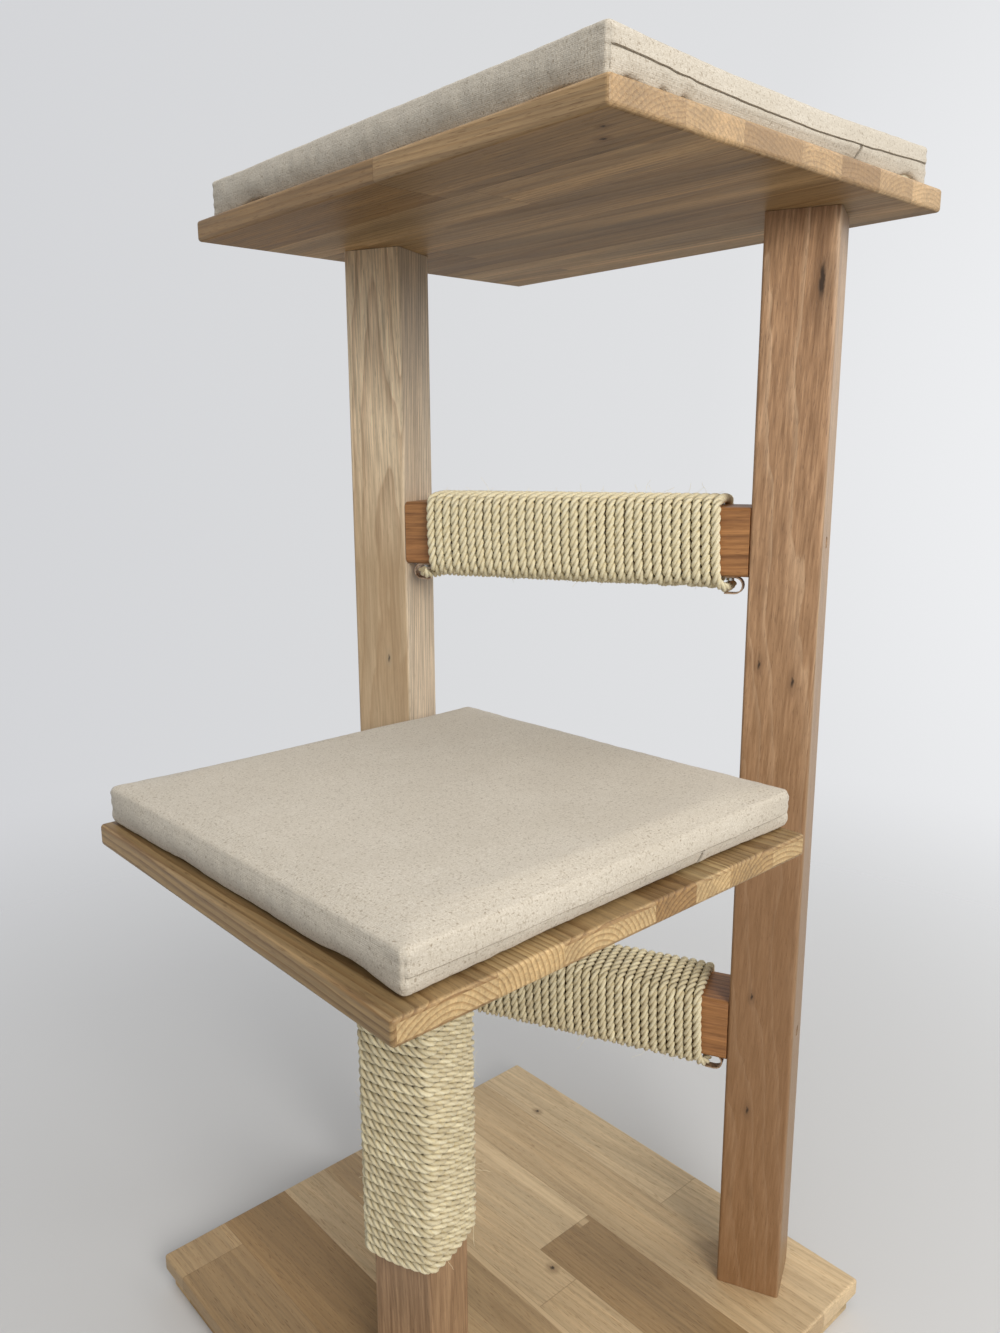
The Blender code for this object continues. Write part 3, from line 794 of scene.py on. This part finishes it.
def windingPath(wind, looks):
    radius = looks["diameter"] / 2
    half, corner = (inner + looks["clear"] + radius for inner in (timberHalf, wind["coreRound"]))
    around = 8 * (half - corner) + 2 * math.pi * corner
    axis, first, second = windingAxes(wind)
    centre = Vector(wind["centre"])
    begin = 0.0 if wind["upright"] else -around / 8       # on a crossbar, the low corner at the back
    end = begin + wind["turns"] * around
    total = end - begin + wind["tailBack"] + wind["tailOn"]
    count = int(total / looks["step"])
    fromStart, fromEnd = looks["tailStart"]
    points = []
    for k in range(count + 1):
        walked = begin - wind["tailBack"] + total * k / count
        share = min(1.0, max(0.0, (walked - begin) / (end - begin)))
        rise = wind["low"] + (wind["high"] - wind["low"]) * share
        before, after = ease((begin - walked) / fromStart), ease((walked - end) / fromEnd)
        loose = max(before, after)
        rise += looks["tailStep"] * (after - before)
        p, q = aroundSquare(walked, half, corner, looks["tailLift"] * loose, wind["bulge"])
        wave = noise.noise(Vector((walked * 9, wind["seed"], 0)))
        lean = noise.noise(Vector((walked * 14, wind["seed"], 7)))
        sag = max(0.0, 1 - (p / half) ** 2) * ease(-q / half)
        q -= wind["slack"] * sag * (0.7 + 0.5 * wave) * (1 - loose)
        out = 1 + wave * 0.008
        points.append(centre + axis * (rise + lean * 0.0006) + first * p * out + second * q * out)
    return points


def meshFromCurve(name, curve, material):
    pick(inScene(name, curve))
    bpy.ops.object.convert(target="MESH")
    piece = bpy.context.object
    paint(piece, material)
    return piece


def strayFibres(name, wind, looks, points, material):
    # loose fibres that stand off the rope
    chance = random.Random(wind["seed"])
    axis, centre = windingAxes(wind)[0], Vector(wind["centre"])
    curve = newCurve(name + "_fibres", dimensions="3D", bevel_depth=looks["fibre"], bevel_resolution=0)
    tails, count = looks["bareTails"], looks["fibrePoints"]
    for _ in range(wind["hairs"]):
        number = chance.randrange(tails, len(points) - tails)
        start = points[number]
        along = (points[number + 3] - start).normalized()
        away = start - centre
        away = (away - axis * away.dot(axis)).normalized()
        heading = (away * chance.uniform(0.15, 1.0) + along * chance.uniform(-1, 1)
                   + axis * chance.uniform(-0.8, 0.8)).normalized()
        length = chance.uniform(*looks["fibreLength"])
        length *= 2.0 if chance.random() < looks["longShare"] else 1.0
        place = start + away * looks["diameter"] * looks["fibreRoot"]
        bend = looks["fibreBend"]
        for point in addLine(curve, count).points:
            point.co = (*place, 1)
            heading = (heading + Vector([chance.uniform(-bend, bend) for _ in range(3)])).normalized()
            place = place + heading * length / (count - 1)
    fibres = meshFromCurve(name + "_fibres", curve, material)
    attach(fibres, "perch")


def windRope(name, wind, looks, profile):
    points = windingPath(wind, looks)
    curve = newCurve(name + "_wound", dimensions="3D", twist_mode="MINIMUM", bevel_mode="OBJECT",
                     bevel_object=profile, use_fill_caps=True)
    length = 0.0
    for number, (point, place) in enumerate(zip(addLine(curve, len(points)).points, points)):
        if number:
            length += (place - points[number - 1]).length
        point.co = (*place, 1)
        loose = 0.22 * noise.noise(Vector((length * 11, wind["seed"], 3)))
        point.tilt = 2 * math.pi * ((length / looks["lay"] + loose) % 1)
    rope = meshFromCurve(name + "_wound", curve, ropeMaterial(looks, length, wind["stainAndShade"]))
    bpy.ops.object.shade_smooth()
    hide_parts(name)
    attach(rope, "perch")
    print(name, "wound:", round(length, 2), "m,", len(rope.data.polygons), "faces")
    return points


profile = ropeProfile(ropeLooks)
fibreCoat = fibreMaterial(ropeLooks)
for name, wind in ropeWinds.items():
    strayFibres(name, wind, ropeLooks, windRope(name, wind, ropeLooks, profile), fibreCoat)
bpy.data.objects.remove(profile)


# clips, screws and bolts

metalLooks = {
    "clip": {"color": linear(196, 170, 144), "dull": linear(150, 122, 98), "metallic": 0.85,
             "roughness": 0.48},
    "steel": {"color": linear(190, 190, 186), "dull": linear(140, 138, 132), "metallic": 1.0,
              "roughness": 0.36},
}


def metalMaterial(name, looks):
    material, tree, shader = newMaterial(name, Metallic=looks["metallic"])
    place = objectPlace(tree)
    stains = climb(tree, grain(tree, place, (260, 260, 260), 3.0, 0.6), 0.42, 0.66)
    scratches = grain(tree, place, (2600, 2600, 240))
    rough = calc(tree, "MULTIPLY_ADD", calc(tree, "ADD", stains, scratches), 0.10, looks["roughness"] - 0.08)
    feed(tree, shader, Base_Color=mixColor(tree, stains, looks["color"], looks["dull"]), Roughness=rough)
    addBump(tree, shader, scratches, 0.15, 0.0002)
    return material


clipMetal = metalMaterial("clipMetal", metalLooks["clip"])
screwSteel = metalMaterial("screwSteel", metalLooks["steel"])
for name in nodes:
    if name.endswith("_clip"):
        dress(clipMetal, name)
    elif "screw" in name or "bolt" in name:
        dress(screwSteel, name)
print("clips, screws and bolts finished")


# cushions

clothLooks = {
    "pale": linear(222, 215, 202), "mid": linear(188, 178, 161), "fleck": linear(128, 110, 86),
    # first: the colour of the painted shade in the closure line and the slit
    "closureShade": linear(84, 70, 52), "foam": linear(232, 226, 200),
    "tape": linear(176, 166, 146), "teeth": linear(208, 200, 184),
    "thread": 0.0011,         # from thread to thread, and from tooth to tooth
    "tooth": 0.0022,
}

coverBuild = {
    # both cushions; where two values stand together, the second is the distance over which the first fades
    "round": 0.002, "voxel": 0.004, "stand": 0.001,
    "pressure": 3.0, "stiffness": 5, "frames": 10,
    "foamIn": 0.0042, "tapeIn": 0.0033, "tapeThick": 0.0004, "tapeHalf": 0.0040, "tapeShort": 0.022,
    "uneven": 0.0007, "ripple": (0.00045, 0.012),
    "seam": (0.0011, 0.0011), "pucker": (0.00050, 0.010), "cornerFade": 0.020,
    "gap": 0.0005, "groove": 0.0011, "upperLip": (0.0005, 0.006), "lowerLip": (0.0004, 0.008),
    "slitDeep": 0.0030, "slitHalf": 0.0008, "flap": (0.0007, 0.004), "flapWide": 0.012,
    "dipFade": 0.014, "liftFade": (0.030, 0.020),     # inwards, and upwards
    "wave": (0.0006, 22),     # the closure's waviness: height, and how fast it changes along X
    "sideFace": -0.35, "sidePoint": -0.3,             # on the closure's side, a normal's Y is under this
    "cuts": (1.6, 0.6, -0.6, -1.6),                   # either side of the closure, in gaps
    "slitCuts": (-0.0014, -0.0006, 0.0006, 0.0014), "cornerCuts": (-0.0012, 0.0, 0.0012),
    "cornerReach": 0.013, "bendFade": 0.014,
}

cushionLooks = {
    # slit: where it meets the closure, from the middle along +X
    # lifts: stretches of the lower edge that stand off the shelf: side, from and to as shares of it, height
    "cushion_middle": {
        **coverBuild,
        "body": "middle_cushion", "start": (0.388, 0.386, 0.0295), "turn": math.radians(1.1),
        "shift": (0.0, 0.0035), "cap": 0.0055, "closure": 0.0125, "closureDip": 0.0, "shade": 0.40,
        "slit": 0.077, "slant": 0.33, "edgeDip": 0.0010, "seed": 2,
        "lifts": (("-y", 0.03, 0.97, 0.0012), ("-x", 0.02, 0.25, 0.0030), ("-x", 0.55, 0.80, 0.0014),
                  ("+y", 0.20, 0.60, 0.0020), ("+x", 0.30, 0.80, 0.0020)),
    },
    "cushion_top": {
        **coverBuild,
        "body": "top_cushion", "start": (0.382, 0.476, 0.0310), "turn": 0.0,
        "shift": (0.0, 0.0), "cap": 0.0050, "closure": 0.0182, "closureDip": 0.0052, "shade": 0.44,
        "slit": 0.084, "slant": 0.36, "edgeDip": 0.0052, "seed": 6,
        "lifts": (("-y", 0.01, 0.10, 0.0036), ("-y", 0.11, 0.155, 0.0040), ("-y", 0.165, 0.21, 0.0042),
                  ("-y", 0.62, 0.76, 0.0022), ("-y", 0.86, 0.985, 0.0055), ("-x", 0.02, 0.16, 0.0022),
                  ("-x", 0.78, 0.92, 0.0032), ("+x", 0.02, 0.20, 0.0040), ("+y", 0.30, 0.70, 0.0024)),
    },
}


def cottonMaterial(looks):
    material, tree, shader = newMaterial("naturalCotton", Roughness=0.92, Sheen_Weight=0.2,
                                         Specular_IOR_Level=0.2)
    place = objectPlace(tree)
    slubs = gather(tree, "ADD", [grain(tree, place, scale)
                                 for scale in ((70, 1000, 1000), (1000, 70, 1000), (1000, 1000, 70))])
    slubs = climb(tree, calc(tree, "DIVIDE", slubs, 3.0), 0.40, 0.60)
    split = split3(tree, place)
    threads = gather(tree, "ADD", [calc(tree, "SINE", times(tree, split[axis], 2 * math.pi / looks["thread"]))
                                   for axis in "XYZ"])
    mottle = climb(tree, grain(tree, place, (18, 18, 18)), 0.3, 0.7)
    yarn = climb(tree, grain(tree, place, (900, 900, 900), 3.0, 0.7), 0.36, 0.64)
    seeds = climb(tree, grain(tree, place, (560, 560, 560), 1.0), 0.60, 0.68)
    specks = climb(tree, grain(tree, place, (420, 420, 420), 0.0), 0.76, 0.82)
    # painted shade along the closure line and the slit, from the cover's attribute
    closureShade = put(tree, "Attribute", attribute_name="closureShade").outputs["Fac"]
    color = mixColor(tree, calc(tree, "MULTIPLY_ADD", mottle, 0.30, 0.70), looks["mid"], looks["pale"])
    for mask, strength, other in ((yarn, 0.80, "mid"), (slubs, 0.45, "mid"), (seeds, 0.38, "fleck"),
                                  (specks, 0.50, "fleck"), (closureShade, 0.85, "closureShade")):
        color = tint(tree, color, mask, strength, looks[other])
    feed(tree, shader, Base_Color=color)
    addBump(tree, shader, calc(tree, "MULTIPLY_ADD", threads, 0.16, slubs), 0.35, 0.0005)
    return material


def foamMaterial(looks):
    material, tree, shader = newMaterial("cushionFoam", Roughness=0.95, Specular_IOR_Level=0.1)
    cells = put(tree, "TexVoronoi", {"Vector": objectPlace(tree), "Scale": 700.0}).outputs["Distance"]
    feed(tree, shader, Base_Color=mixColor(tree, cells, looks["foam"], toned(looks["foam"], 0.6)))
    addBump(tree, shader, cells, 0.4, 0.0006)
    return material


def zipMaterial(looks):
    material, tree, shader = newMaterial("zipTape", Roughness=0.6)
    place = objectPlace(tree)
    pitch = times(tree, split3(tree, place)["X"], 2 * math.pi / looks["tooth"])
    teeth = climb(tree, calc(tree, "MULTIPLY_ADD", calc(tree, "SINE", pitch), 0.5, 0.5), 0.45, 0.6)
    color = mixColor(tree, teeth, looks["tape"], looks["teeth"])
    color = tint(tree, color, grain(tree, place, (1500, 1500, 1500)), 0.3, looks["fleck"])
    feed(tree, shader, Base_Color=color)
    addBump(tree, shader, teeth, 0.5, 0.0004)
    return material


def inflate(piece, looks):
    # stiff cloth pushed out by the foam, with its swelling held to the cap
    scene = bpy.context.scene
    pick(piece)
    rest = [v.co.copy() for v in piece.data.vertices]
    cloth = piece.modifiers.new("cloth", "CLOTH")
    cloth.settings.use_pressure = True
    cloth.settings.uniform_pressure_force = looks["pressure"]
    cloth.settings.bending_stiffness = looks["stiffness"]
    cloth.settings.effector_weights.gravity = 0
    cloth.point_cache.frame_start = 1
    cloth.point_cache.frame_end = looks["frames"]
    for number in range(1, looks["frames"] + 1):
        scene.frame_set(number)
    bpy.ops.object.modifier_apply(modifier=cloth.name)
    scene.frame_set(1)
    for vert, start in zip(piece.data.vertices, rest):
        moved = vert.co - start
        if moved.length > looks["cap"]:
            vert.co = start + moved * (looks["cap"] / moved.length)


def makePad(name, looks, middle, bottom):
    # a rounded box that swells where it isn't flat on the shelf
    clearSelection()
    level = bottom + looks["stand"] + looks["start"][2] / 2
    bpy.ops.mesh.primitive_cube_add(size=1.0, location=(middle.x, middle.y, level))
    piece = bpy.context.object
    piece.name = name + "_padded"
    piece.dimensions = looks["start"]
    settle(piece)
    bpy.ops.object.mode_set(mode="EDIT")
    bpy.ops.mesh.select_all(action="SELECT")
    bpy.ops.mesh.bevel(offset=looks["round"], segments=3, affect="EDGES")
    bpy.ops.object.mode_set(mode="OBJECT")
    piece.data.remesh_voxel_size = looks["voxel"]
    bpy.ops.object.voxel_remesh()
    inflate(piece, looks)
    for vert in piece.data.vertices:
        vert.co.z = max(vert.co.z, bottom)
    return piece


def closureHeight(looks, x, half):
    share = (x + half) / (2 * half)
    high, fast = looks["wave"]
    return (looks["closure"] - looks["closureDip"] * math.sin(math.pi * min(1, max(0, share)))
            + high * noise.noise(Vector((x * fast, looks["seed"], 0))))


def editFaces(operation, **settings):
    # on the selected faces of the active piece
    bpy.context.tool_settings.mesh_select_mode = (False, False, True)
    bpy.ops.object.mode_set(mode="EDIT")
    operation(**settings)
    bpy.ops.object.mode_set(mode="OBJECT")


def cutFaces(piece, chosen, planes):
    # new edges where planes cross the chosen faces
    for place, normal in planes:
        pick(piece)
        for face in piece.data.polygons:
            face.select = chosen(face)
        editFaces(bpy.ops.mesh.bisect, plane_co=place, plane_no=normal)


def bendCuts(piece, looks, middle, bottom, level):
    # the cut lines follow the closure's own wavy height
    halfX = looks["start"][0] / 2
    for vert, normal in withNormals(piece):
        if normal.y < looks["sidePoint"]:
            wanted = bottom + closureHeight(looks, vert.co.x - middle.x, halfX)
            reach = vert.co.z - level
            vert.co.z += (wanted - level) * (1 - ease(abs(reach) / looks["bendFade"]))


def cutSeams(piece, looks, middle, bottom):
    # edges for the closure, the slit under it and the corner seams
    width, depth = looks["start"][:2]
    level = bottom + looks["closure"]
    slitLevel = level - looks["closureDip"] * math.cos(math.pi * looks["slit"] / width)

    def onSide(face):
        return face.normal.y < looks["sideFace"] and abs(face.center.x - middle.x) < width / 2 - 0.001

    def underClosure(face):
        return onSide(face) and face.center.z < slitLevel - 0.002

    def nearCorner(face):
        off = face.center - place
        return max(abs(off.x), abs(off.y)) < looks["cornerReach"] and abs(face.normal.z) < 0.8

    cutFaces(piece, onSide, [((0, 0, level + looks["gap"] * part), (0, 0, 1)) for part in looks["cuts"]])
    bendCuts(piece, looks, middle, bottom, level)
    cutFaces(piece, underClosure, [((middle.x + looks["slit"] + step, 0, slitLevel), (1, 0, -looks["slant"]))
                                   for step in looks["slitCuts"]])
    for signX, signY in ((-1, -1), (1, -1), (1, 1), (-1, 1)):
        place = Vector((middle.x + signX * width / 2, middle.y + signY * depth / 2, bottom))
        across = Vector((signY, signX, 0)).normalized()
        cutFaces(piece, nearCorner, [(place + across * step, across) for step in looks["cornerCuts"]])


def makeZip(name, piece, looks, middle, bottom):
    # the zip lies behind the closure, between the cover and the foam
    tape = duplicateOf(piece, name + "_zip_tape")
    halfX = looks["start"][0] / 2
    for face in tape.data.polygons:
        x = face.center.x - middle.x
        near = abs(face.center.z - bottom - closureHeight(looks, x, halfX)) < looks["tapeHalf"]
        face.select = not (near and face.normal.y < looks["sideFace"] and abs(x) < halfX - looks["tapeShort"])
    pushIn(tape, looks["tapeIn"])
    editFaces(bpy.ops.mesh.delete, type="FACE")
    thick = tape.modifiers.new("thick", "SOLIDIFY")
    thick.thickness = looks["tapeThick"]
    thick.offset = -1
    applyModifiers(tape)
    return tape


def liftAt(looks, x, y, half):
    # how far the lower edge stands off the shelf here
    total = 0.0
    for side, start, stop, height in looks["lifts"]:
        if side[1] == "y":
            away = half[1] - y if side[0] == "+" else half[1] + y
            share = (x + half[0]) / (2 * half[0])
        else:
            away = half[0] - x if side[0] == "+" else half[0] + x
            share = (y + half[1]) / (2 * half[1])
        middle, reach = (start + stop) / 2, (stop - start) / 2
        bump = 1 - ease(abs(share - middle) / reach)
        total = max(total, height * bump * (1 - ease(away / looks["liftFade"][0])))
    return total


def closureMove(looks, x, z, half):
    # how far the closure and its slit draw the cloth in here, and how much painted shade they get
    over = z - closureHeight(looks, x, half)
    if abs(over) < looks["gap"] * 0.75:
        return looks["groove"], looks["shade"]
    if over > 0:
        high, fade = looks["upperLip"]
        return -high * math.exp(-over / fade), 0.0
    deep, fade = looks["lowerLip"]
    inward = deep * math.exp(over / fade)
    past = x - (looks["slit"] + looks["slant"] * over)
    if abs(past) < looks["slitHalf"]:
        return inward + looks["slitDeep"], 1.0
    if 0 < past < looks["flapWide"]:
        high, fade = looks["flap"]
        inward -= high * math.exp(-past / fade)
    return inward, 0.0


def cornerMove(looks, x, y, z, inX, inY):
    # the corner seams, with puckers either side
    corner = math.exp(-(inX + inY) / looks["cornerFade"])
    if corner <= 0.02:
        return 0.0
    diagonal = (inX - inY) / math.sqrt(2)
    deep, wide = looks["seam"]
    seam = deep * math.exp(-(diagonal / wide) ** 2) * min(1, corner * 2.2)
    ripple = math.sin(z * 720 + looks["seed"] + 2 * noise.noise(Vector((x * 60, y * 60, z * 90))))
    high, fade = looks["pucker"]
    return high * ripple * corner * math.exp(-abs(diagonal) / fade) - seam


def shapeCover(piece, looks, middle, bottom):
    # seams, closure and puckers, in the cushion's own axes
    half = (looks["start"][0] / 2, looks["start"][1] / 2)
    seed = looks["seed"]
    high, fade = looks["ripple"]
    closureShades = []
    top = max(v.co.z for v in piece.data.vertices)
    for vert, normal in withNormals(piece):
        x, y, z = vert.co - Vector((middle.x, middle.y, bottom))
        inX, inY = half[0] - abs(x), half[1] - abs(y)
        # soft unevenness of the top, and small ripples along the edges
        out = looks["uneven"] * noise.noise(Vector((x * 14, y * 14, seed)))
        out += high * math.exp(-min(inX, inY) / fade) * noise.noise(Vector((x * 95, y * 95, z * 60 + seed)))
        out += ease((1 - abs(normal.z)) / 0.6) * cornerMove(looks, x, y, z, inX, inY)
        inward, closureShade = 0.0, 0.0
        if normal.y < looks["sidePoint"] and inX > 0.003:
            inward, closureShade = closureMove(looks, x, z, half[0])
        # edges dip between the corners
        dip = looks["edgeDip"] * math.exp(-inY / looks["dipFade"]) * math.cos(math.pi * x / (2 * half[0]))
        lift = liftAt(looks, x, y, half) * (1 - ease(z / looks["liftFade"][1]))
        vert.co += normal * out + Vector((0, inward, lift - dip * ease(z / (top - bottom))))
        closureShades.append(closureShade)
    # the painted shade of the closure line and the slit, for the cotton to read
    piece.data.attributes.new("closureShade", "FLOAT", "POINT").data.foreach_set("value", closureShades)


def turnAbout(piece, looks, middle):
    turn = Matrix.Rotation(looks["turn"], 4, "Z")
    there = Matrix.Translation(middle + Vector((*looks["shift"], 0)))
    piece.data.transform(there @ turn @ Matrix.Translation(-middle))


def makeCushion(name, looks, cotton, foam, zipCoat):
    low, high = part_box(name + "_cover")
    middle, bottom = (low + high) / 2, low.z
    piece = makePad(name, looks, middle, bottom)
    block = duplicateOf(piece, name + "_foam_block")
    pushIn(block, looks["foamIn"])
    pick(piece)
    finer = piece.modifiers.new("finer", "SUBSURF")
    finer.levels = finer.render_levels = 1
    applyModifiers(piece)
    cutSeams(piece, looks, middle, bottom)
    tape = makeZip(name, piece, looks, middle, bottom)
    shapeCover(piece, looks, middle, bottom)

    for item, coat, slot in ((piece, cotton, "cotton"), (block, foam, "foam"), (tape, zipCoat, "zip_tape")):
        turnAbout(item, looks, middle)
        pick(item)
        bpy.ops.object.shade_smooth_by_angle(angle=math.radians(50))
        paint(item, coat)
        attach(item, looks["body"])
    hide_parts(name + "_cover")
    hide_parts(name + "_zip")
    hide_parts(name + "_foam")
    print(name, "made:", len(piece.data.polygons), "faces")


cushionCoats = (cottonMaterial(clothLooks), foamMaterial(clothLooks), zipMaterial(clothLooks))
for name, looks in cushionLooks.items():
    makeCushion(name, looks, *cushionCoats)
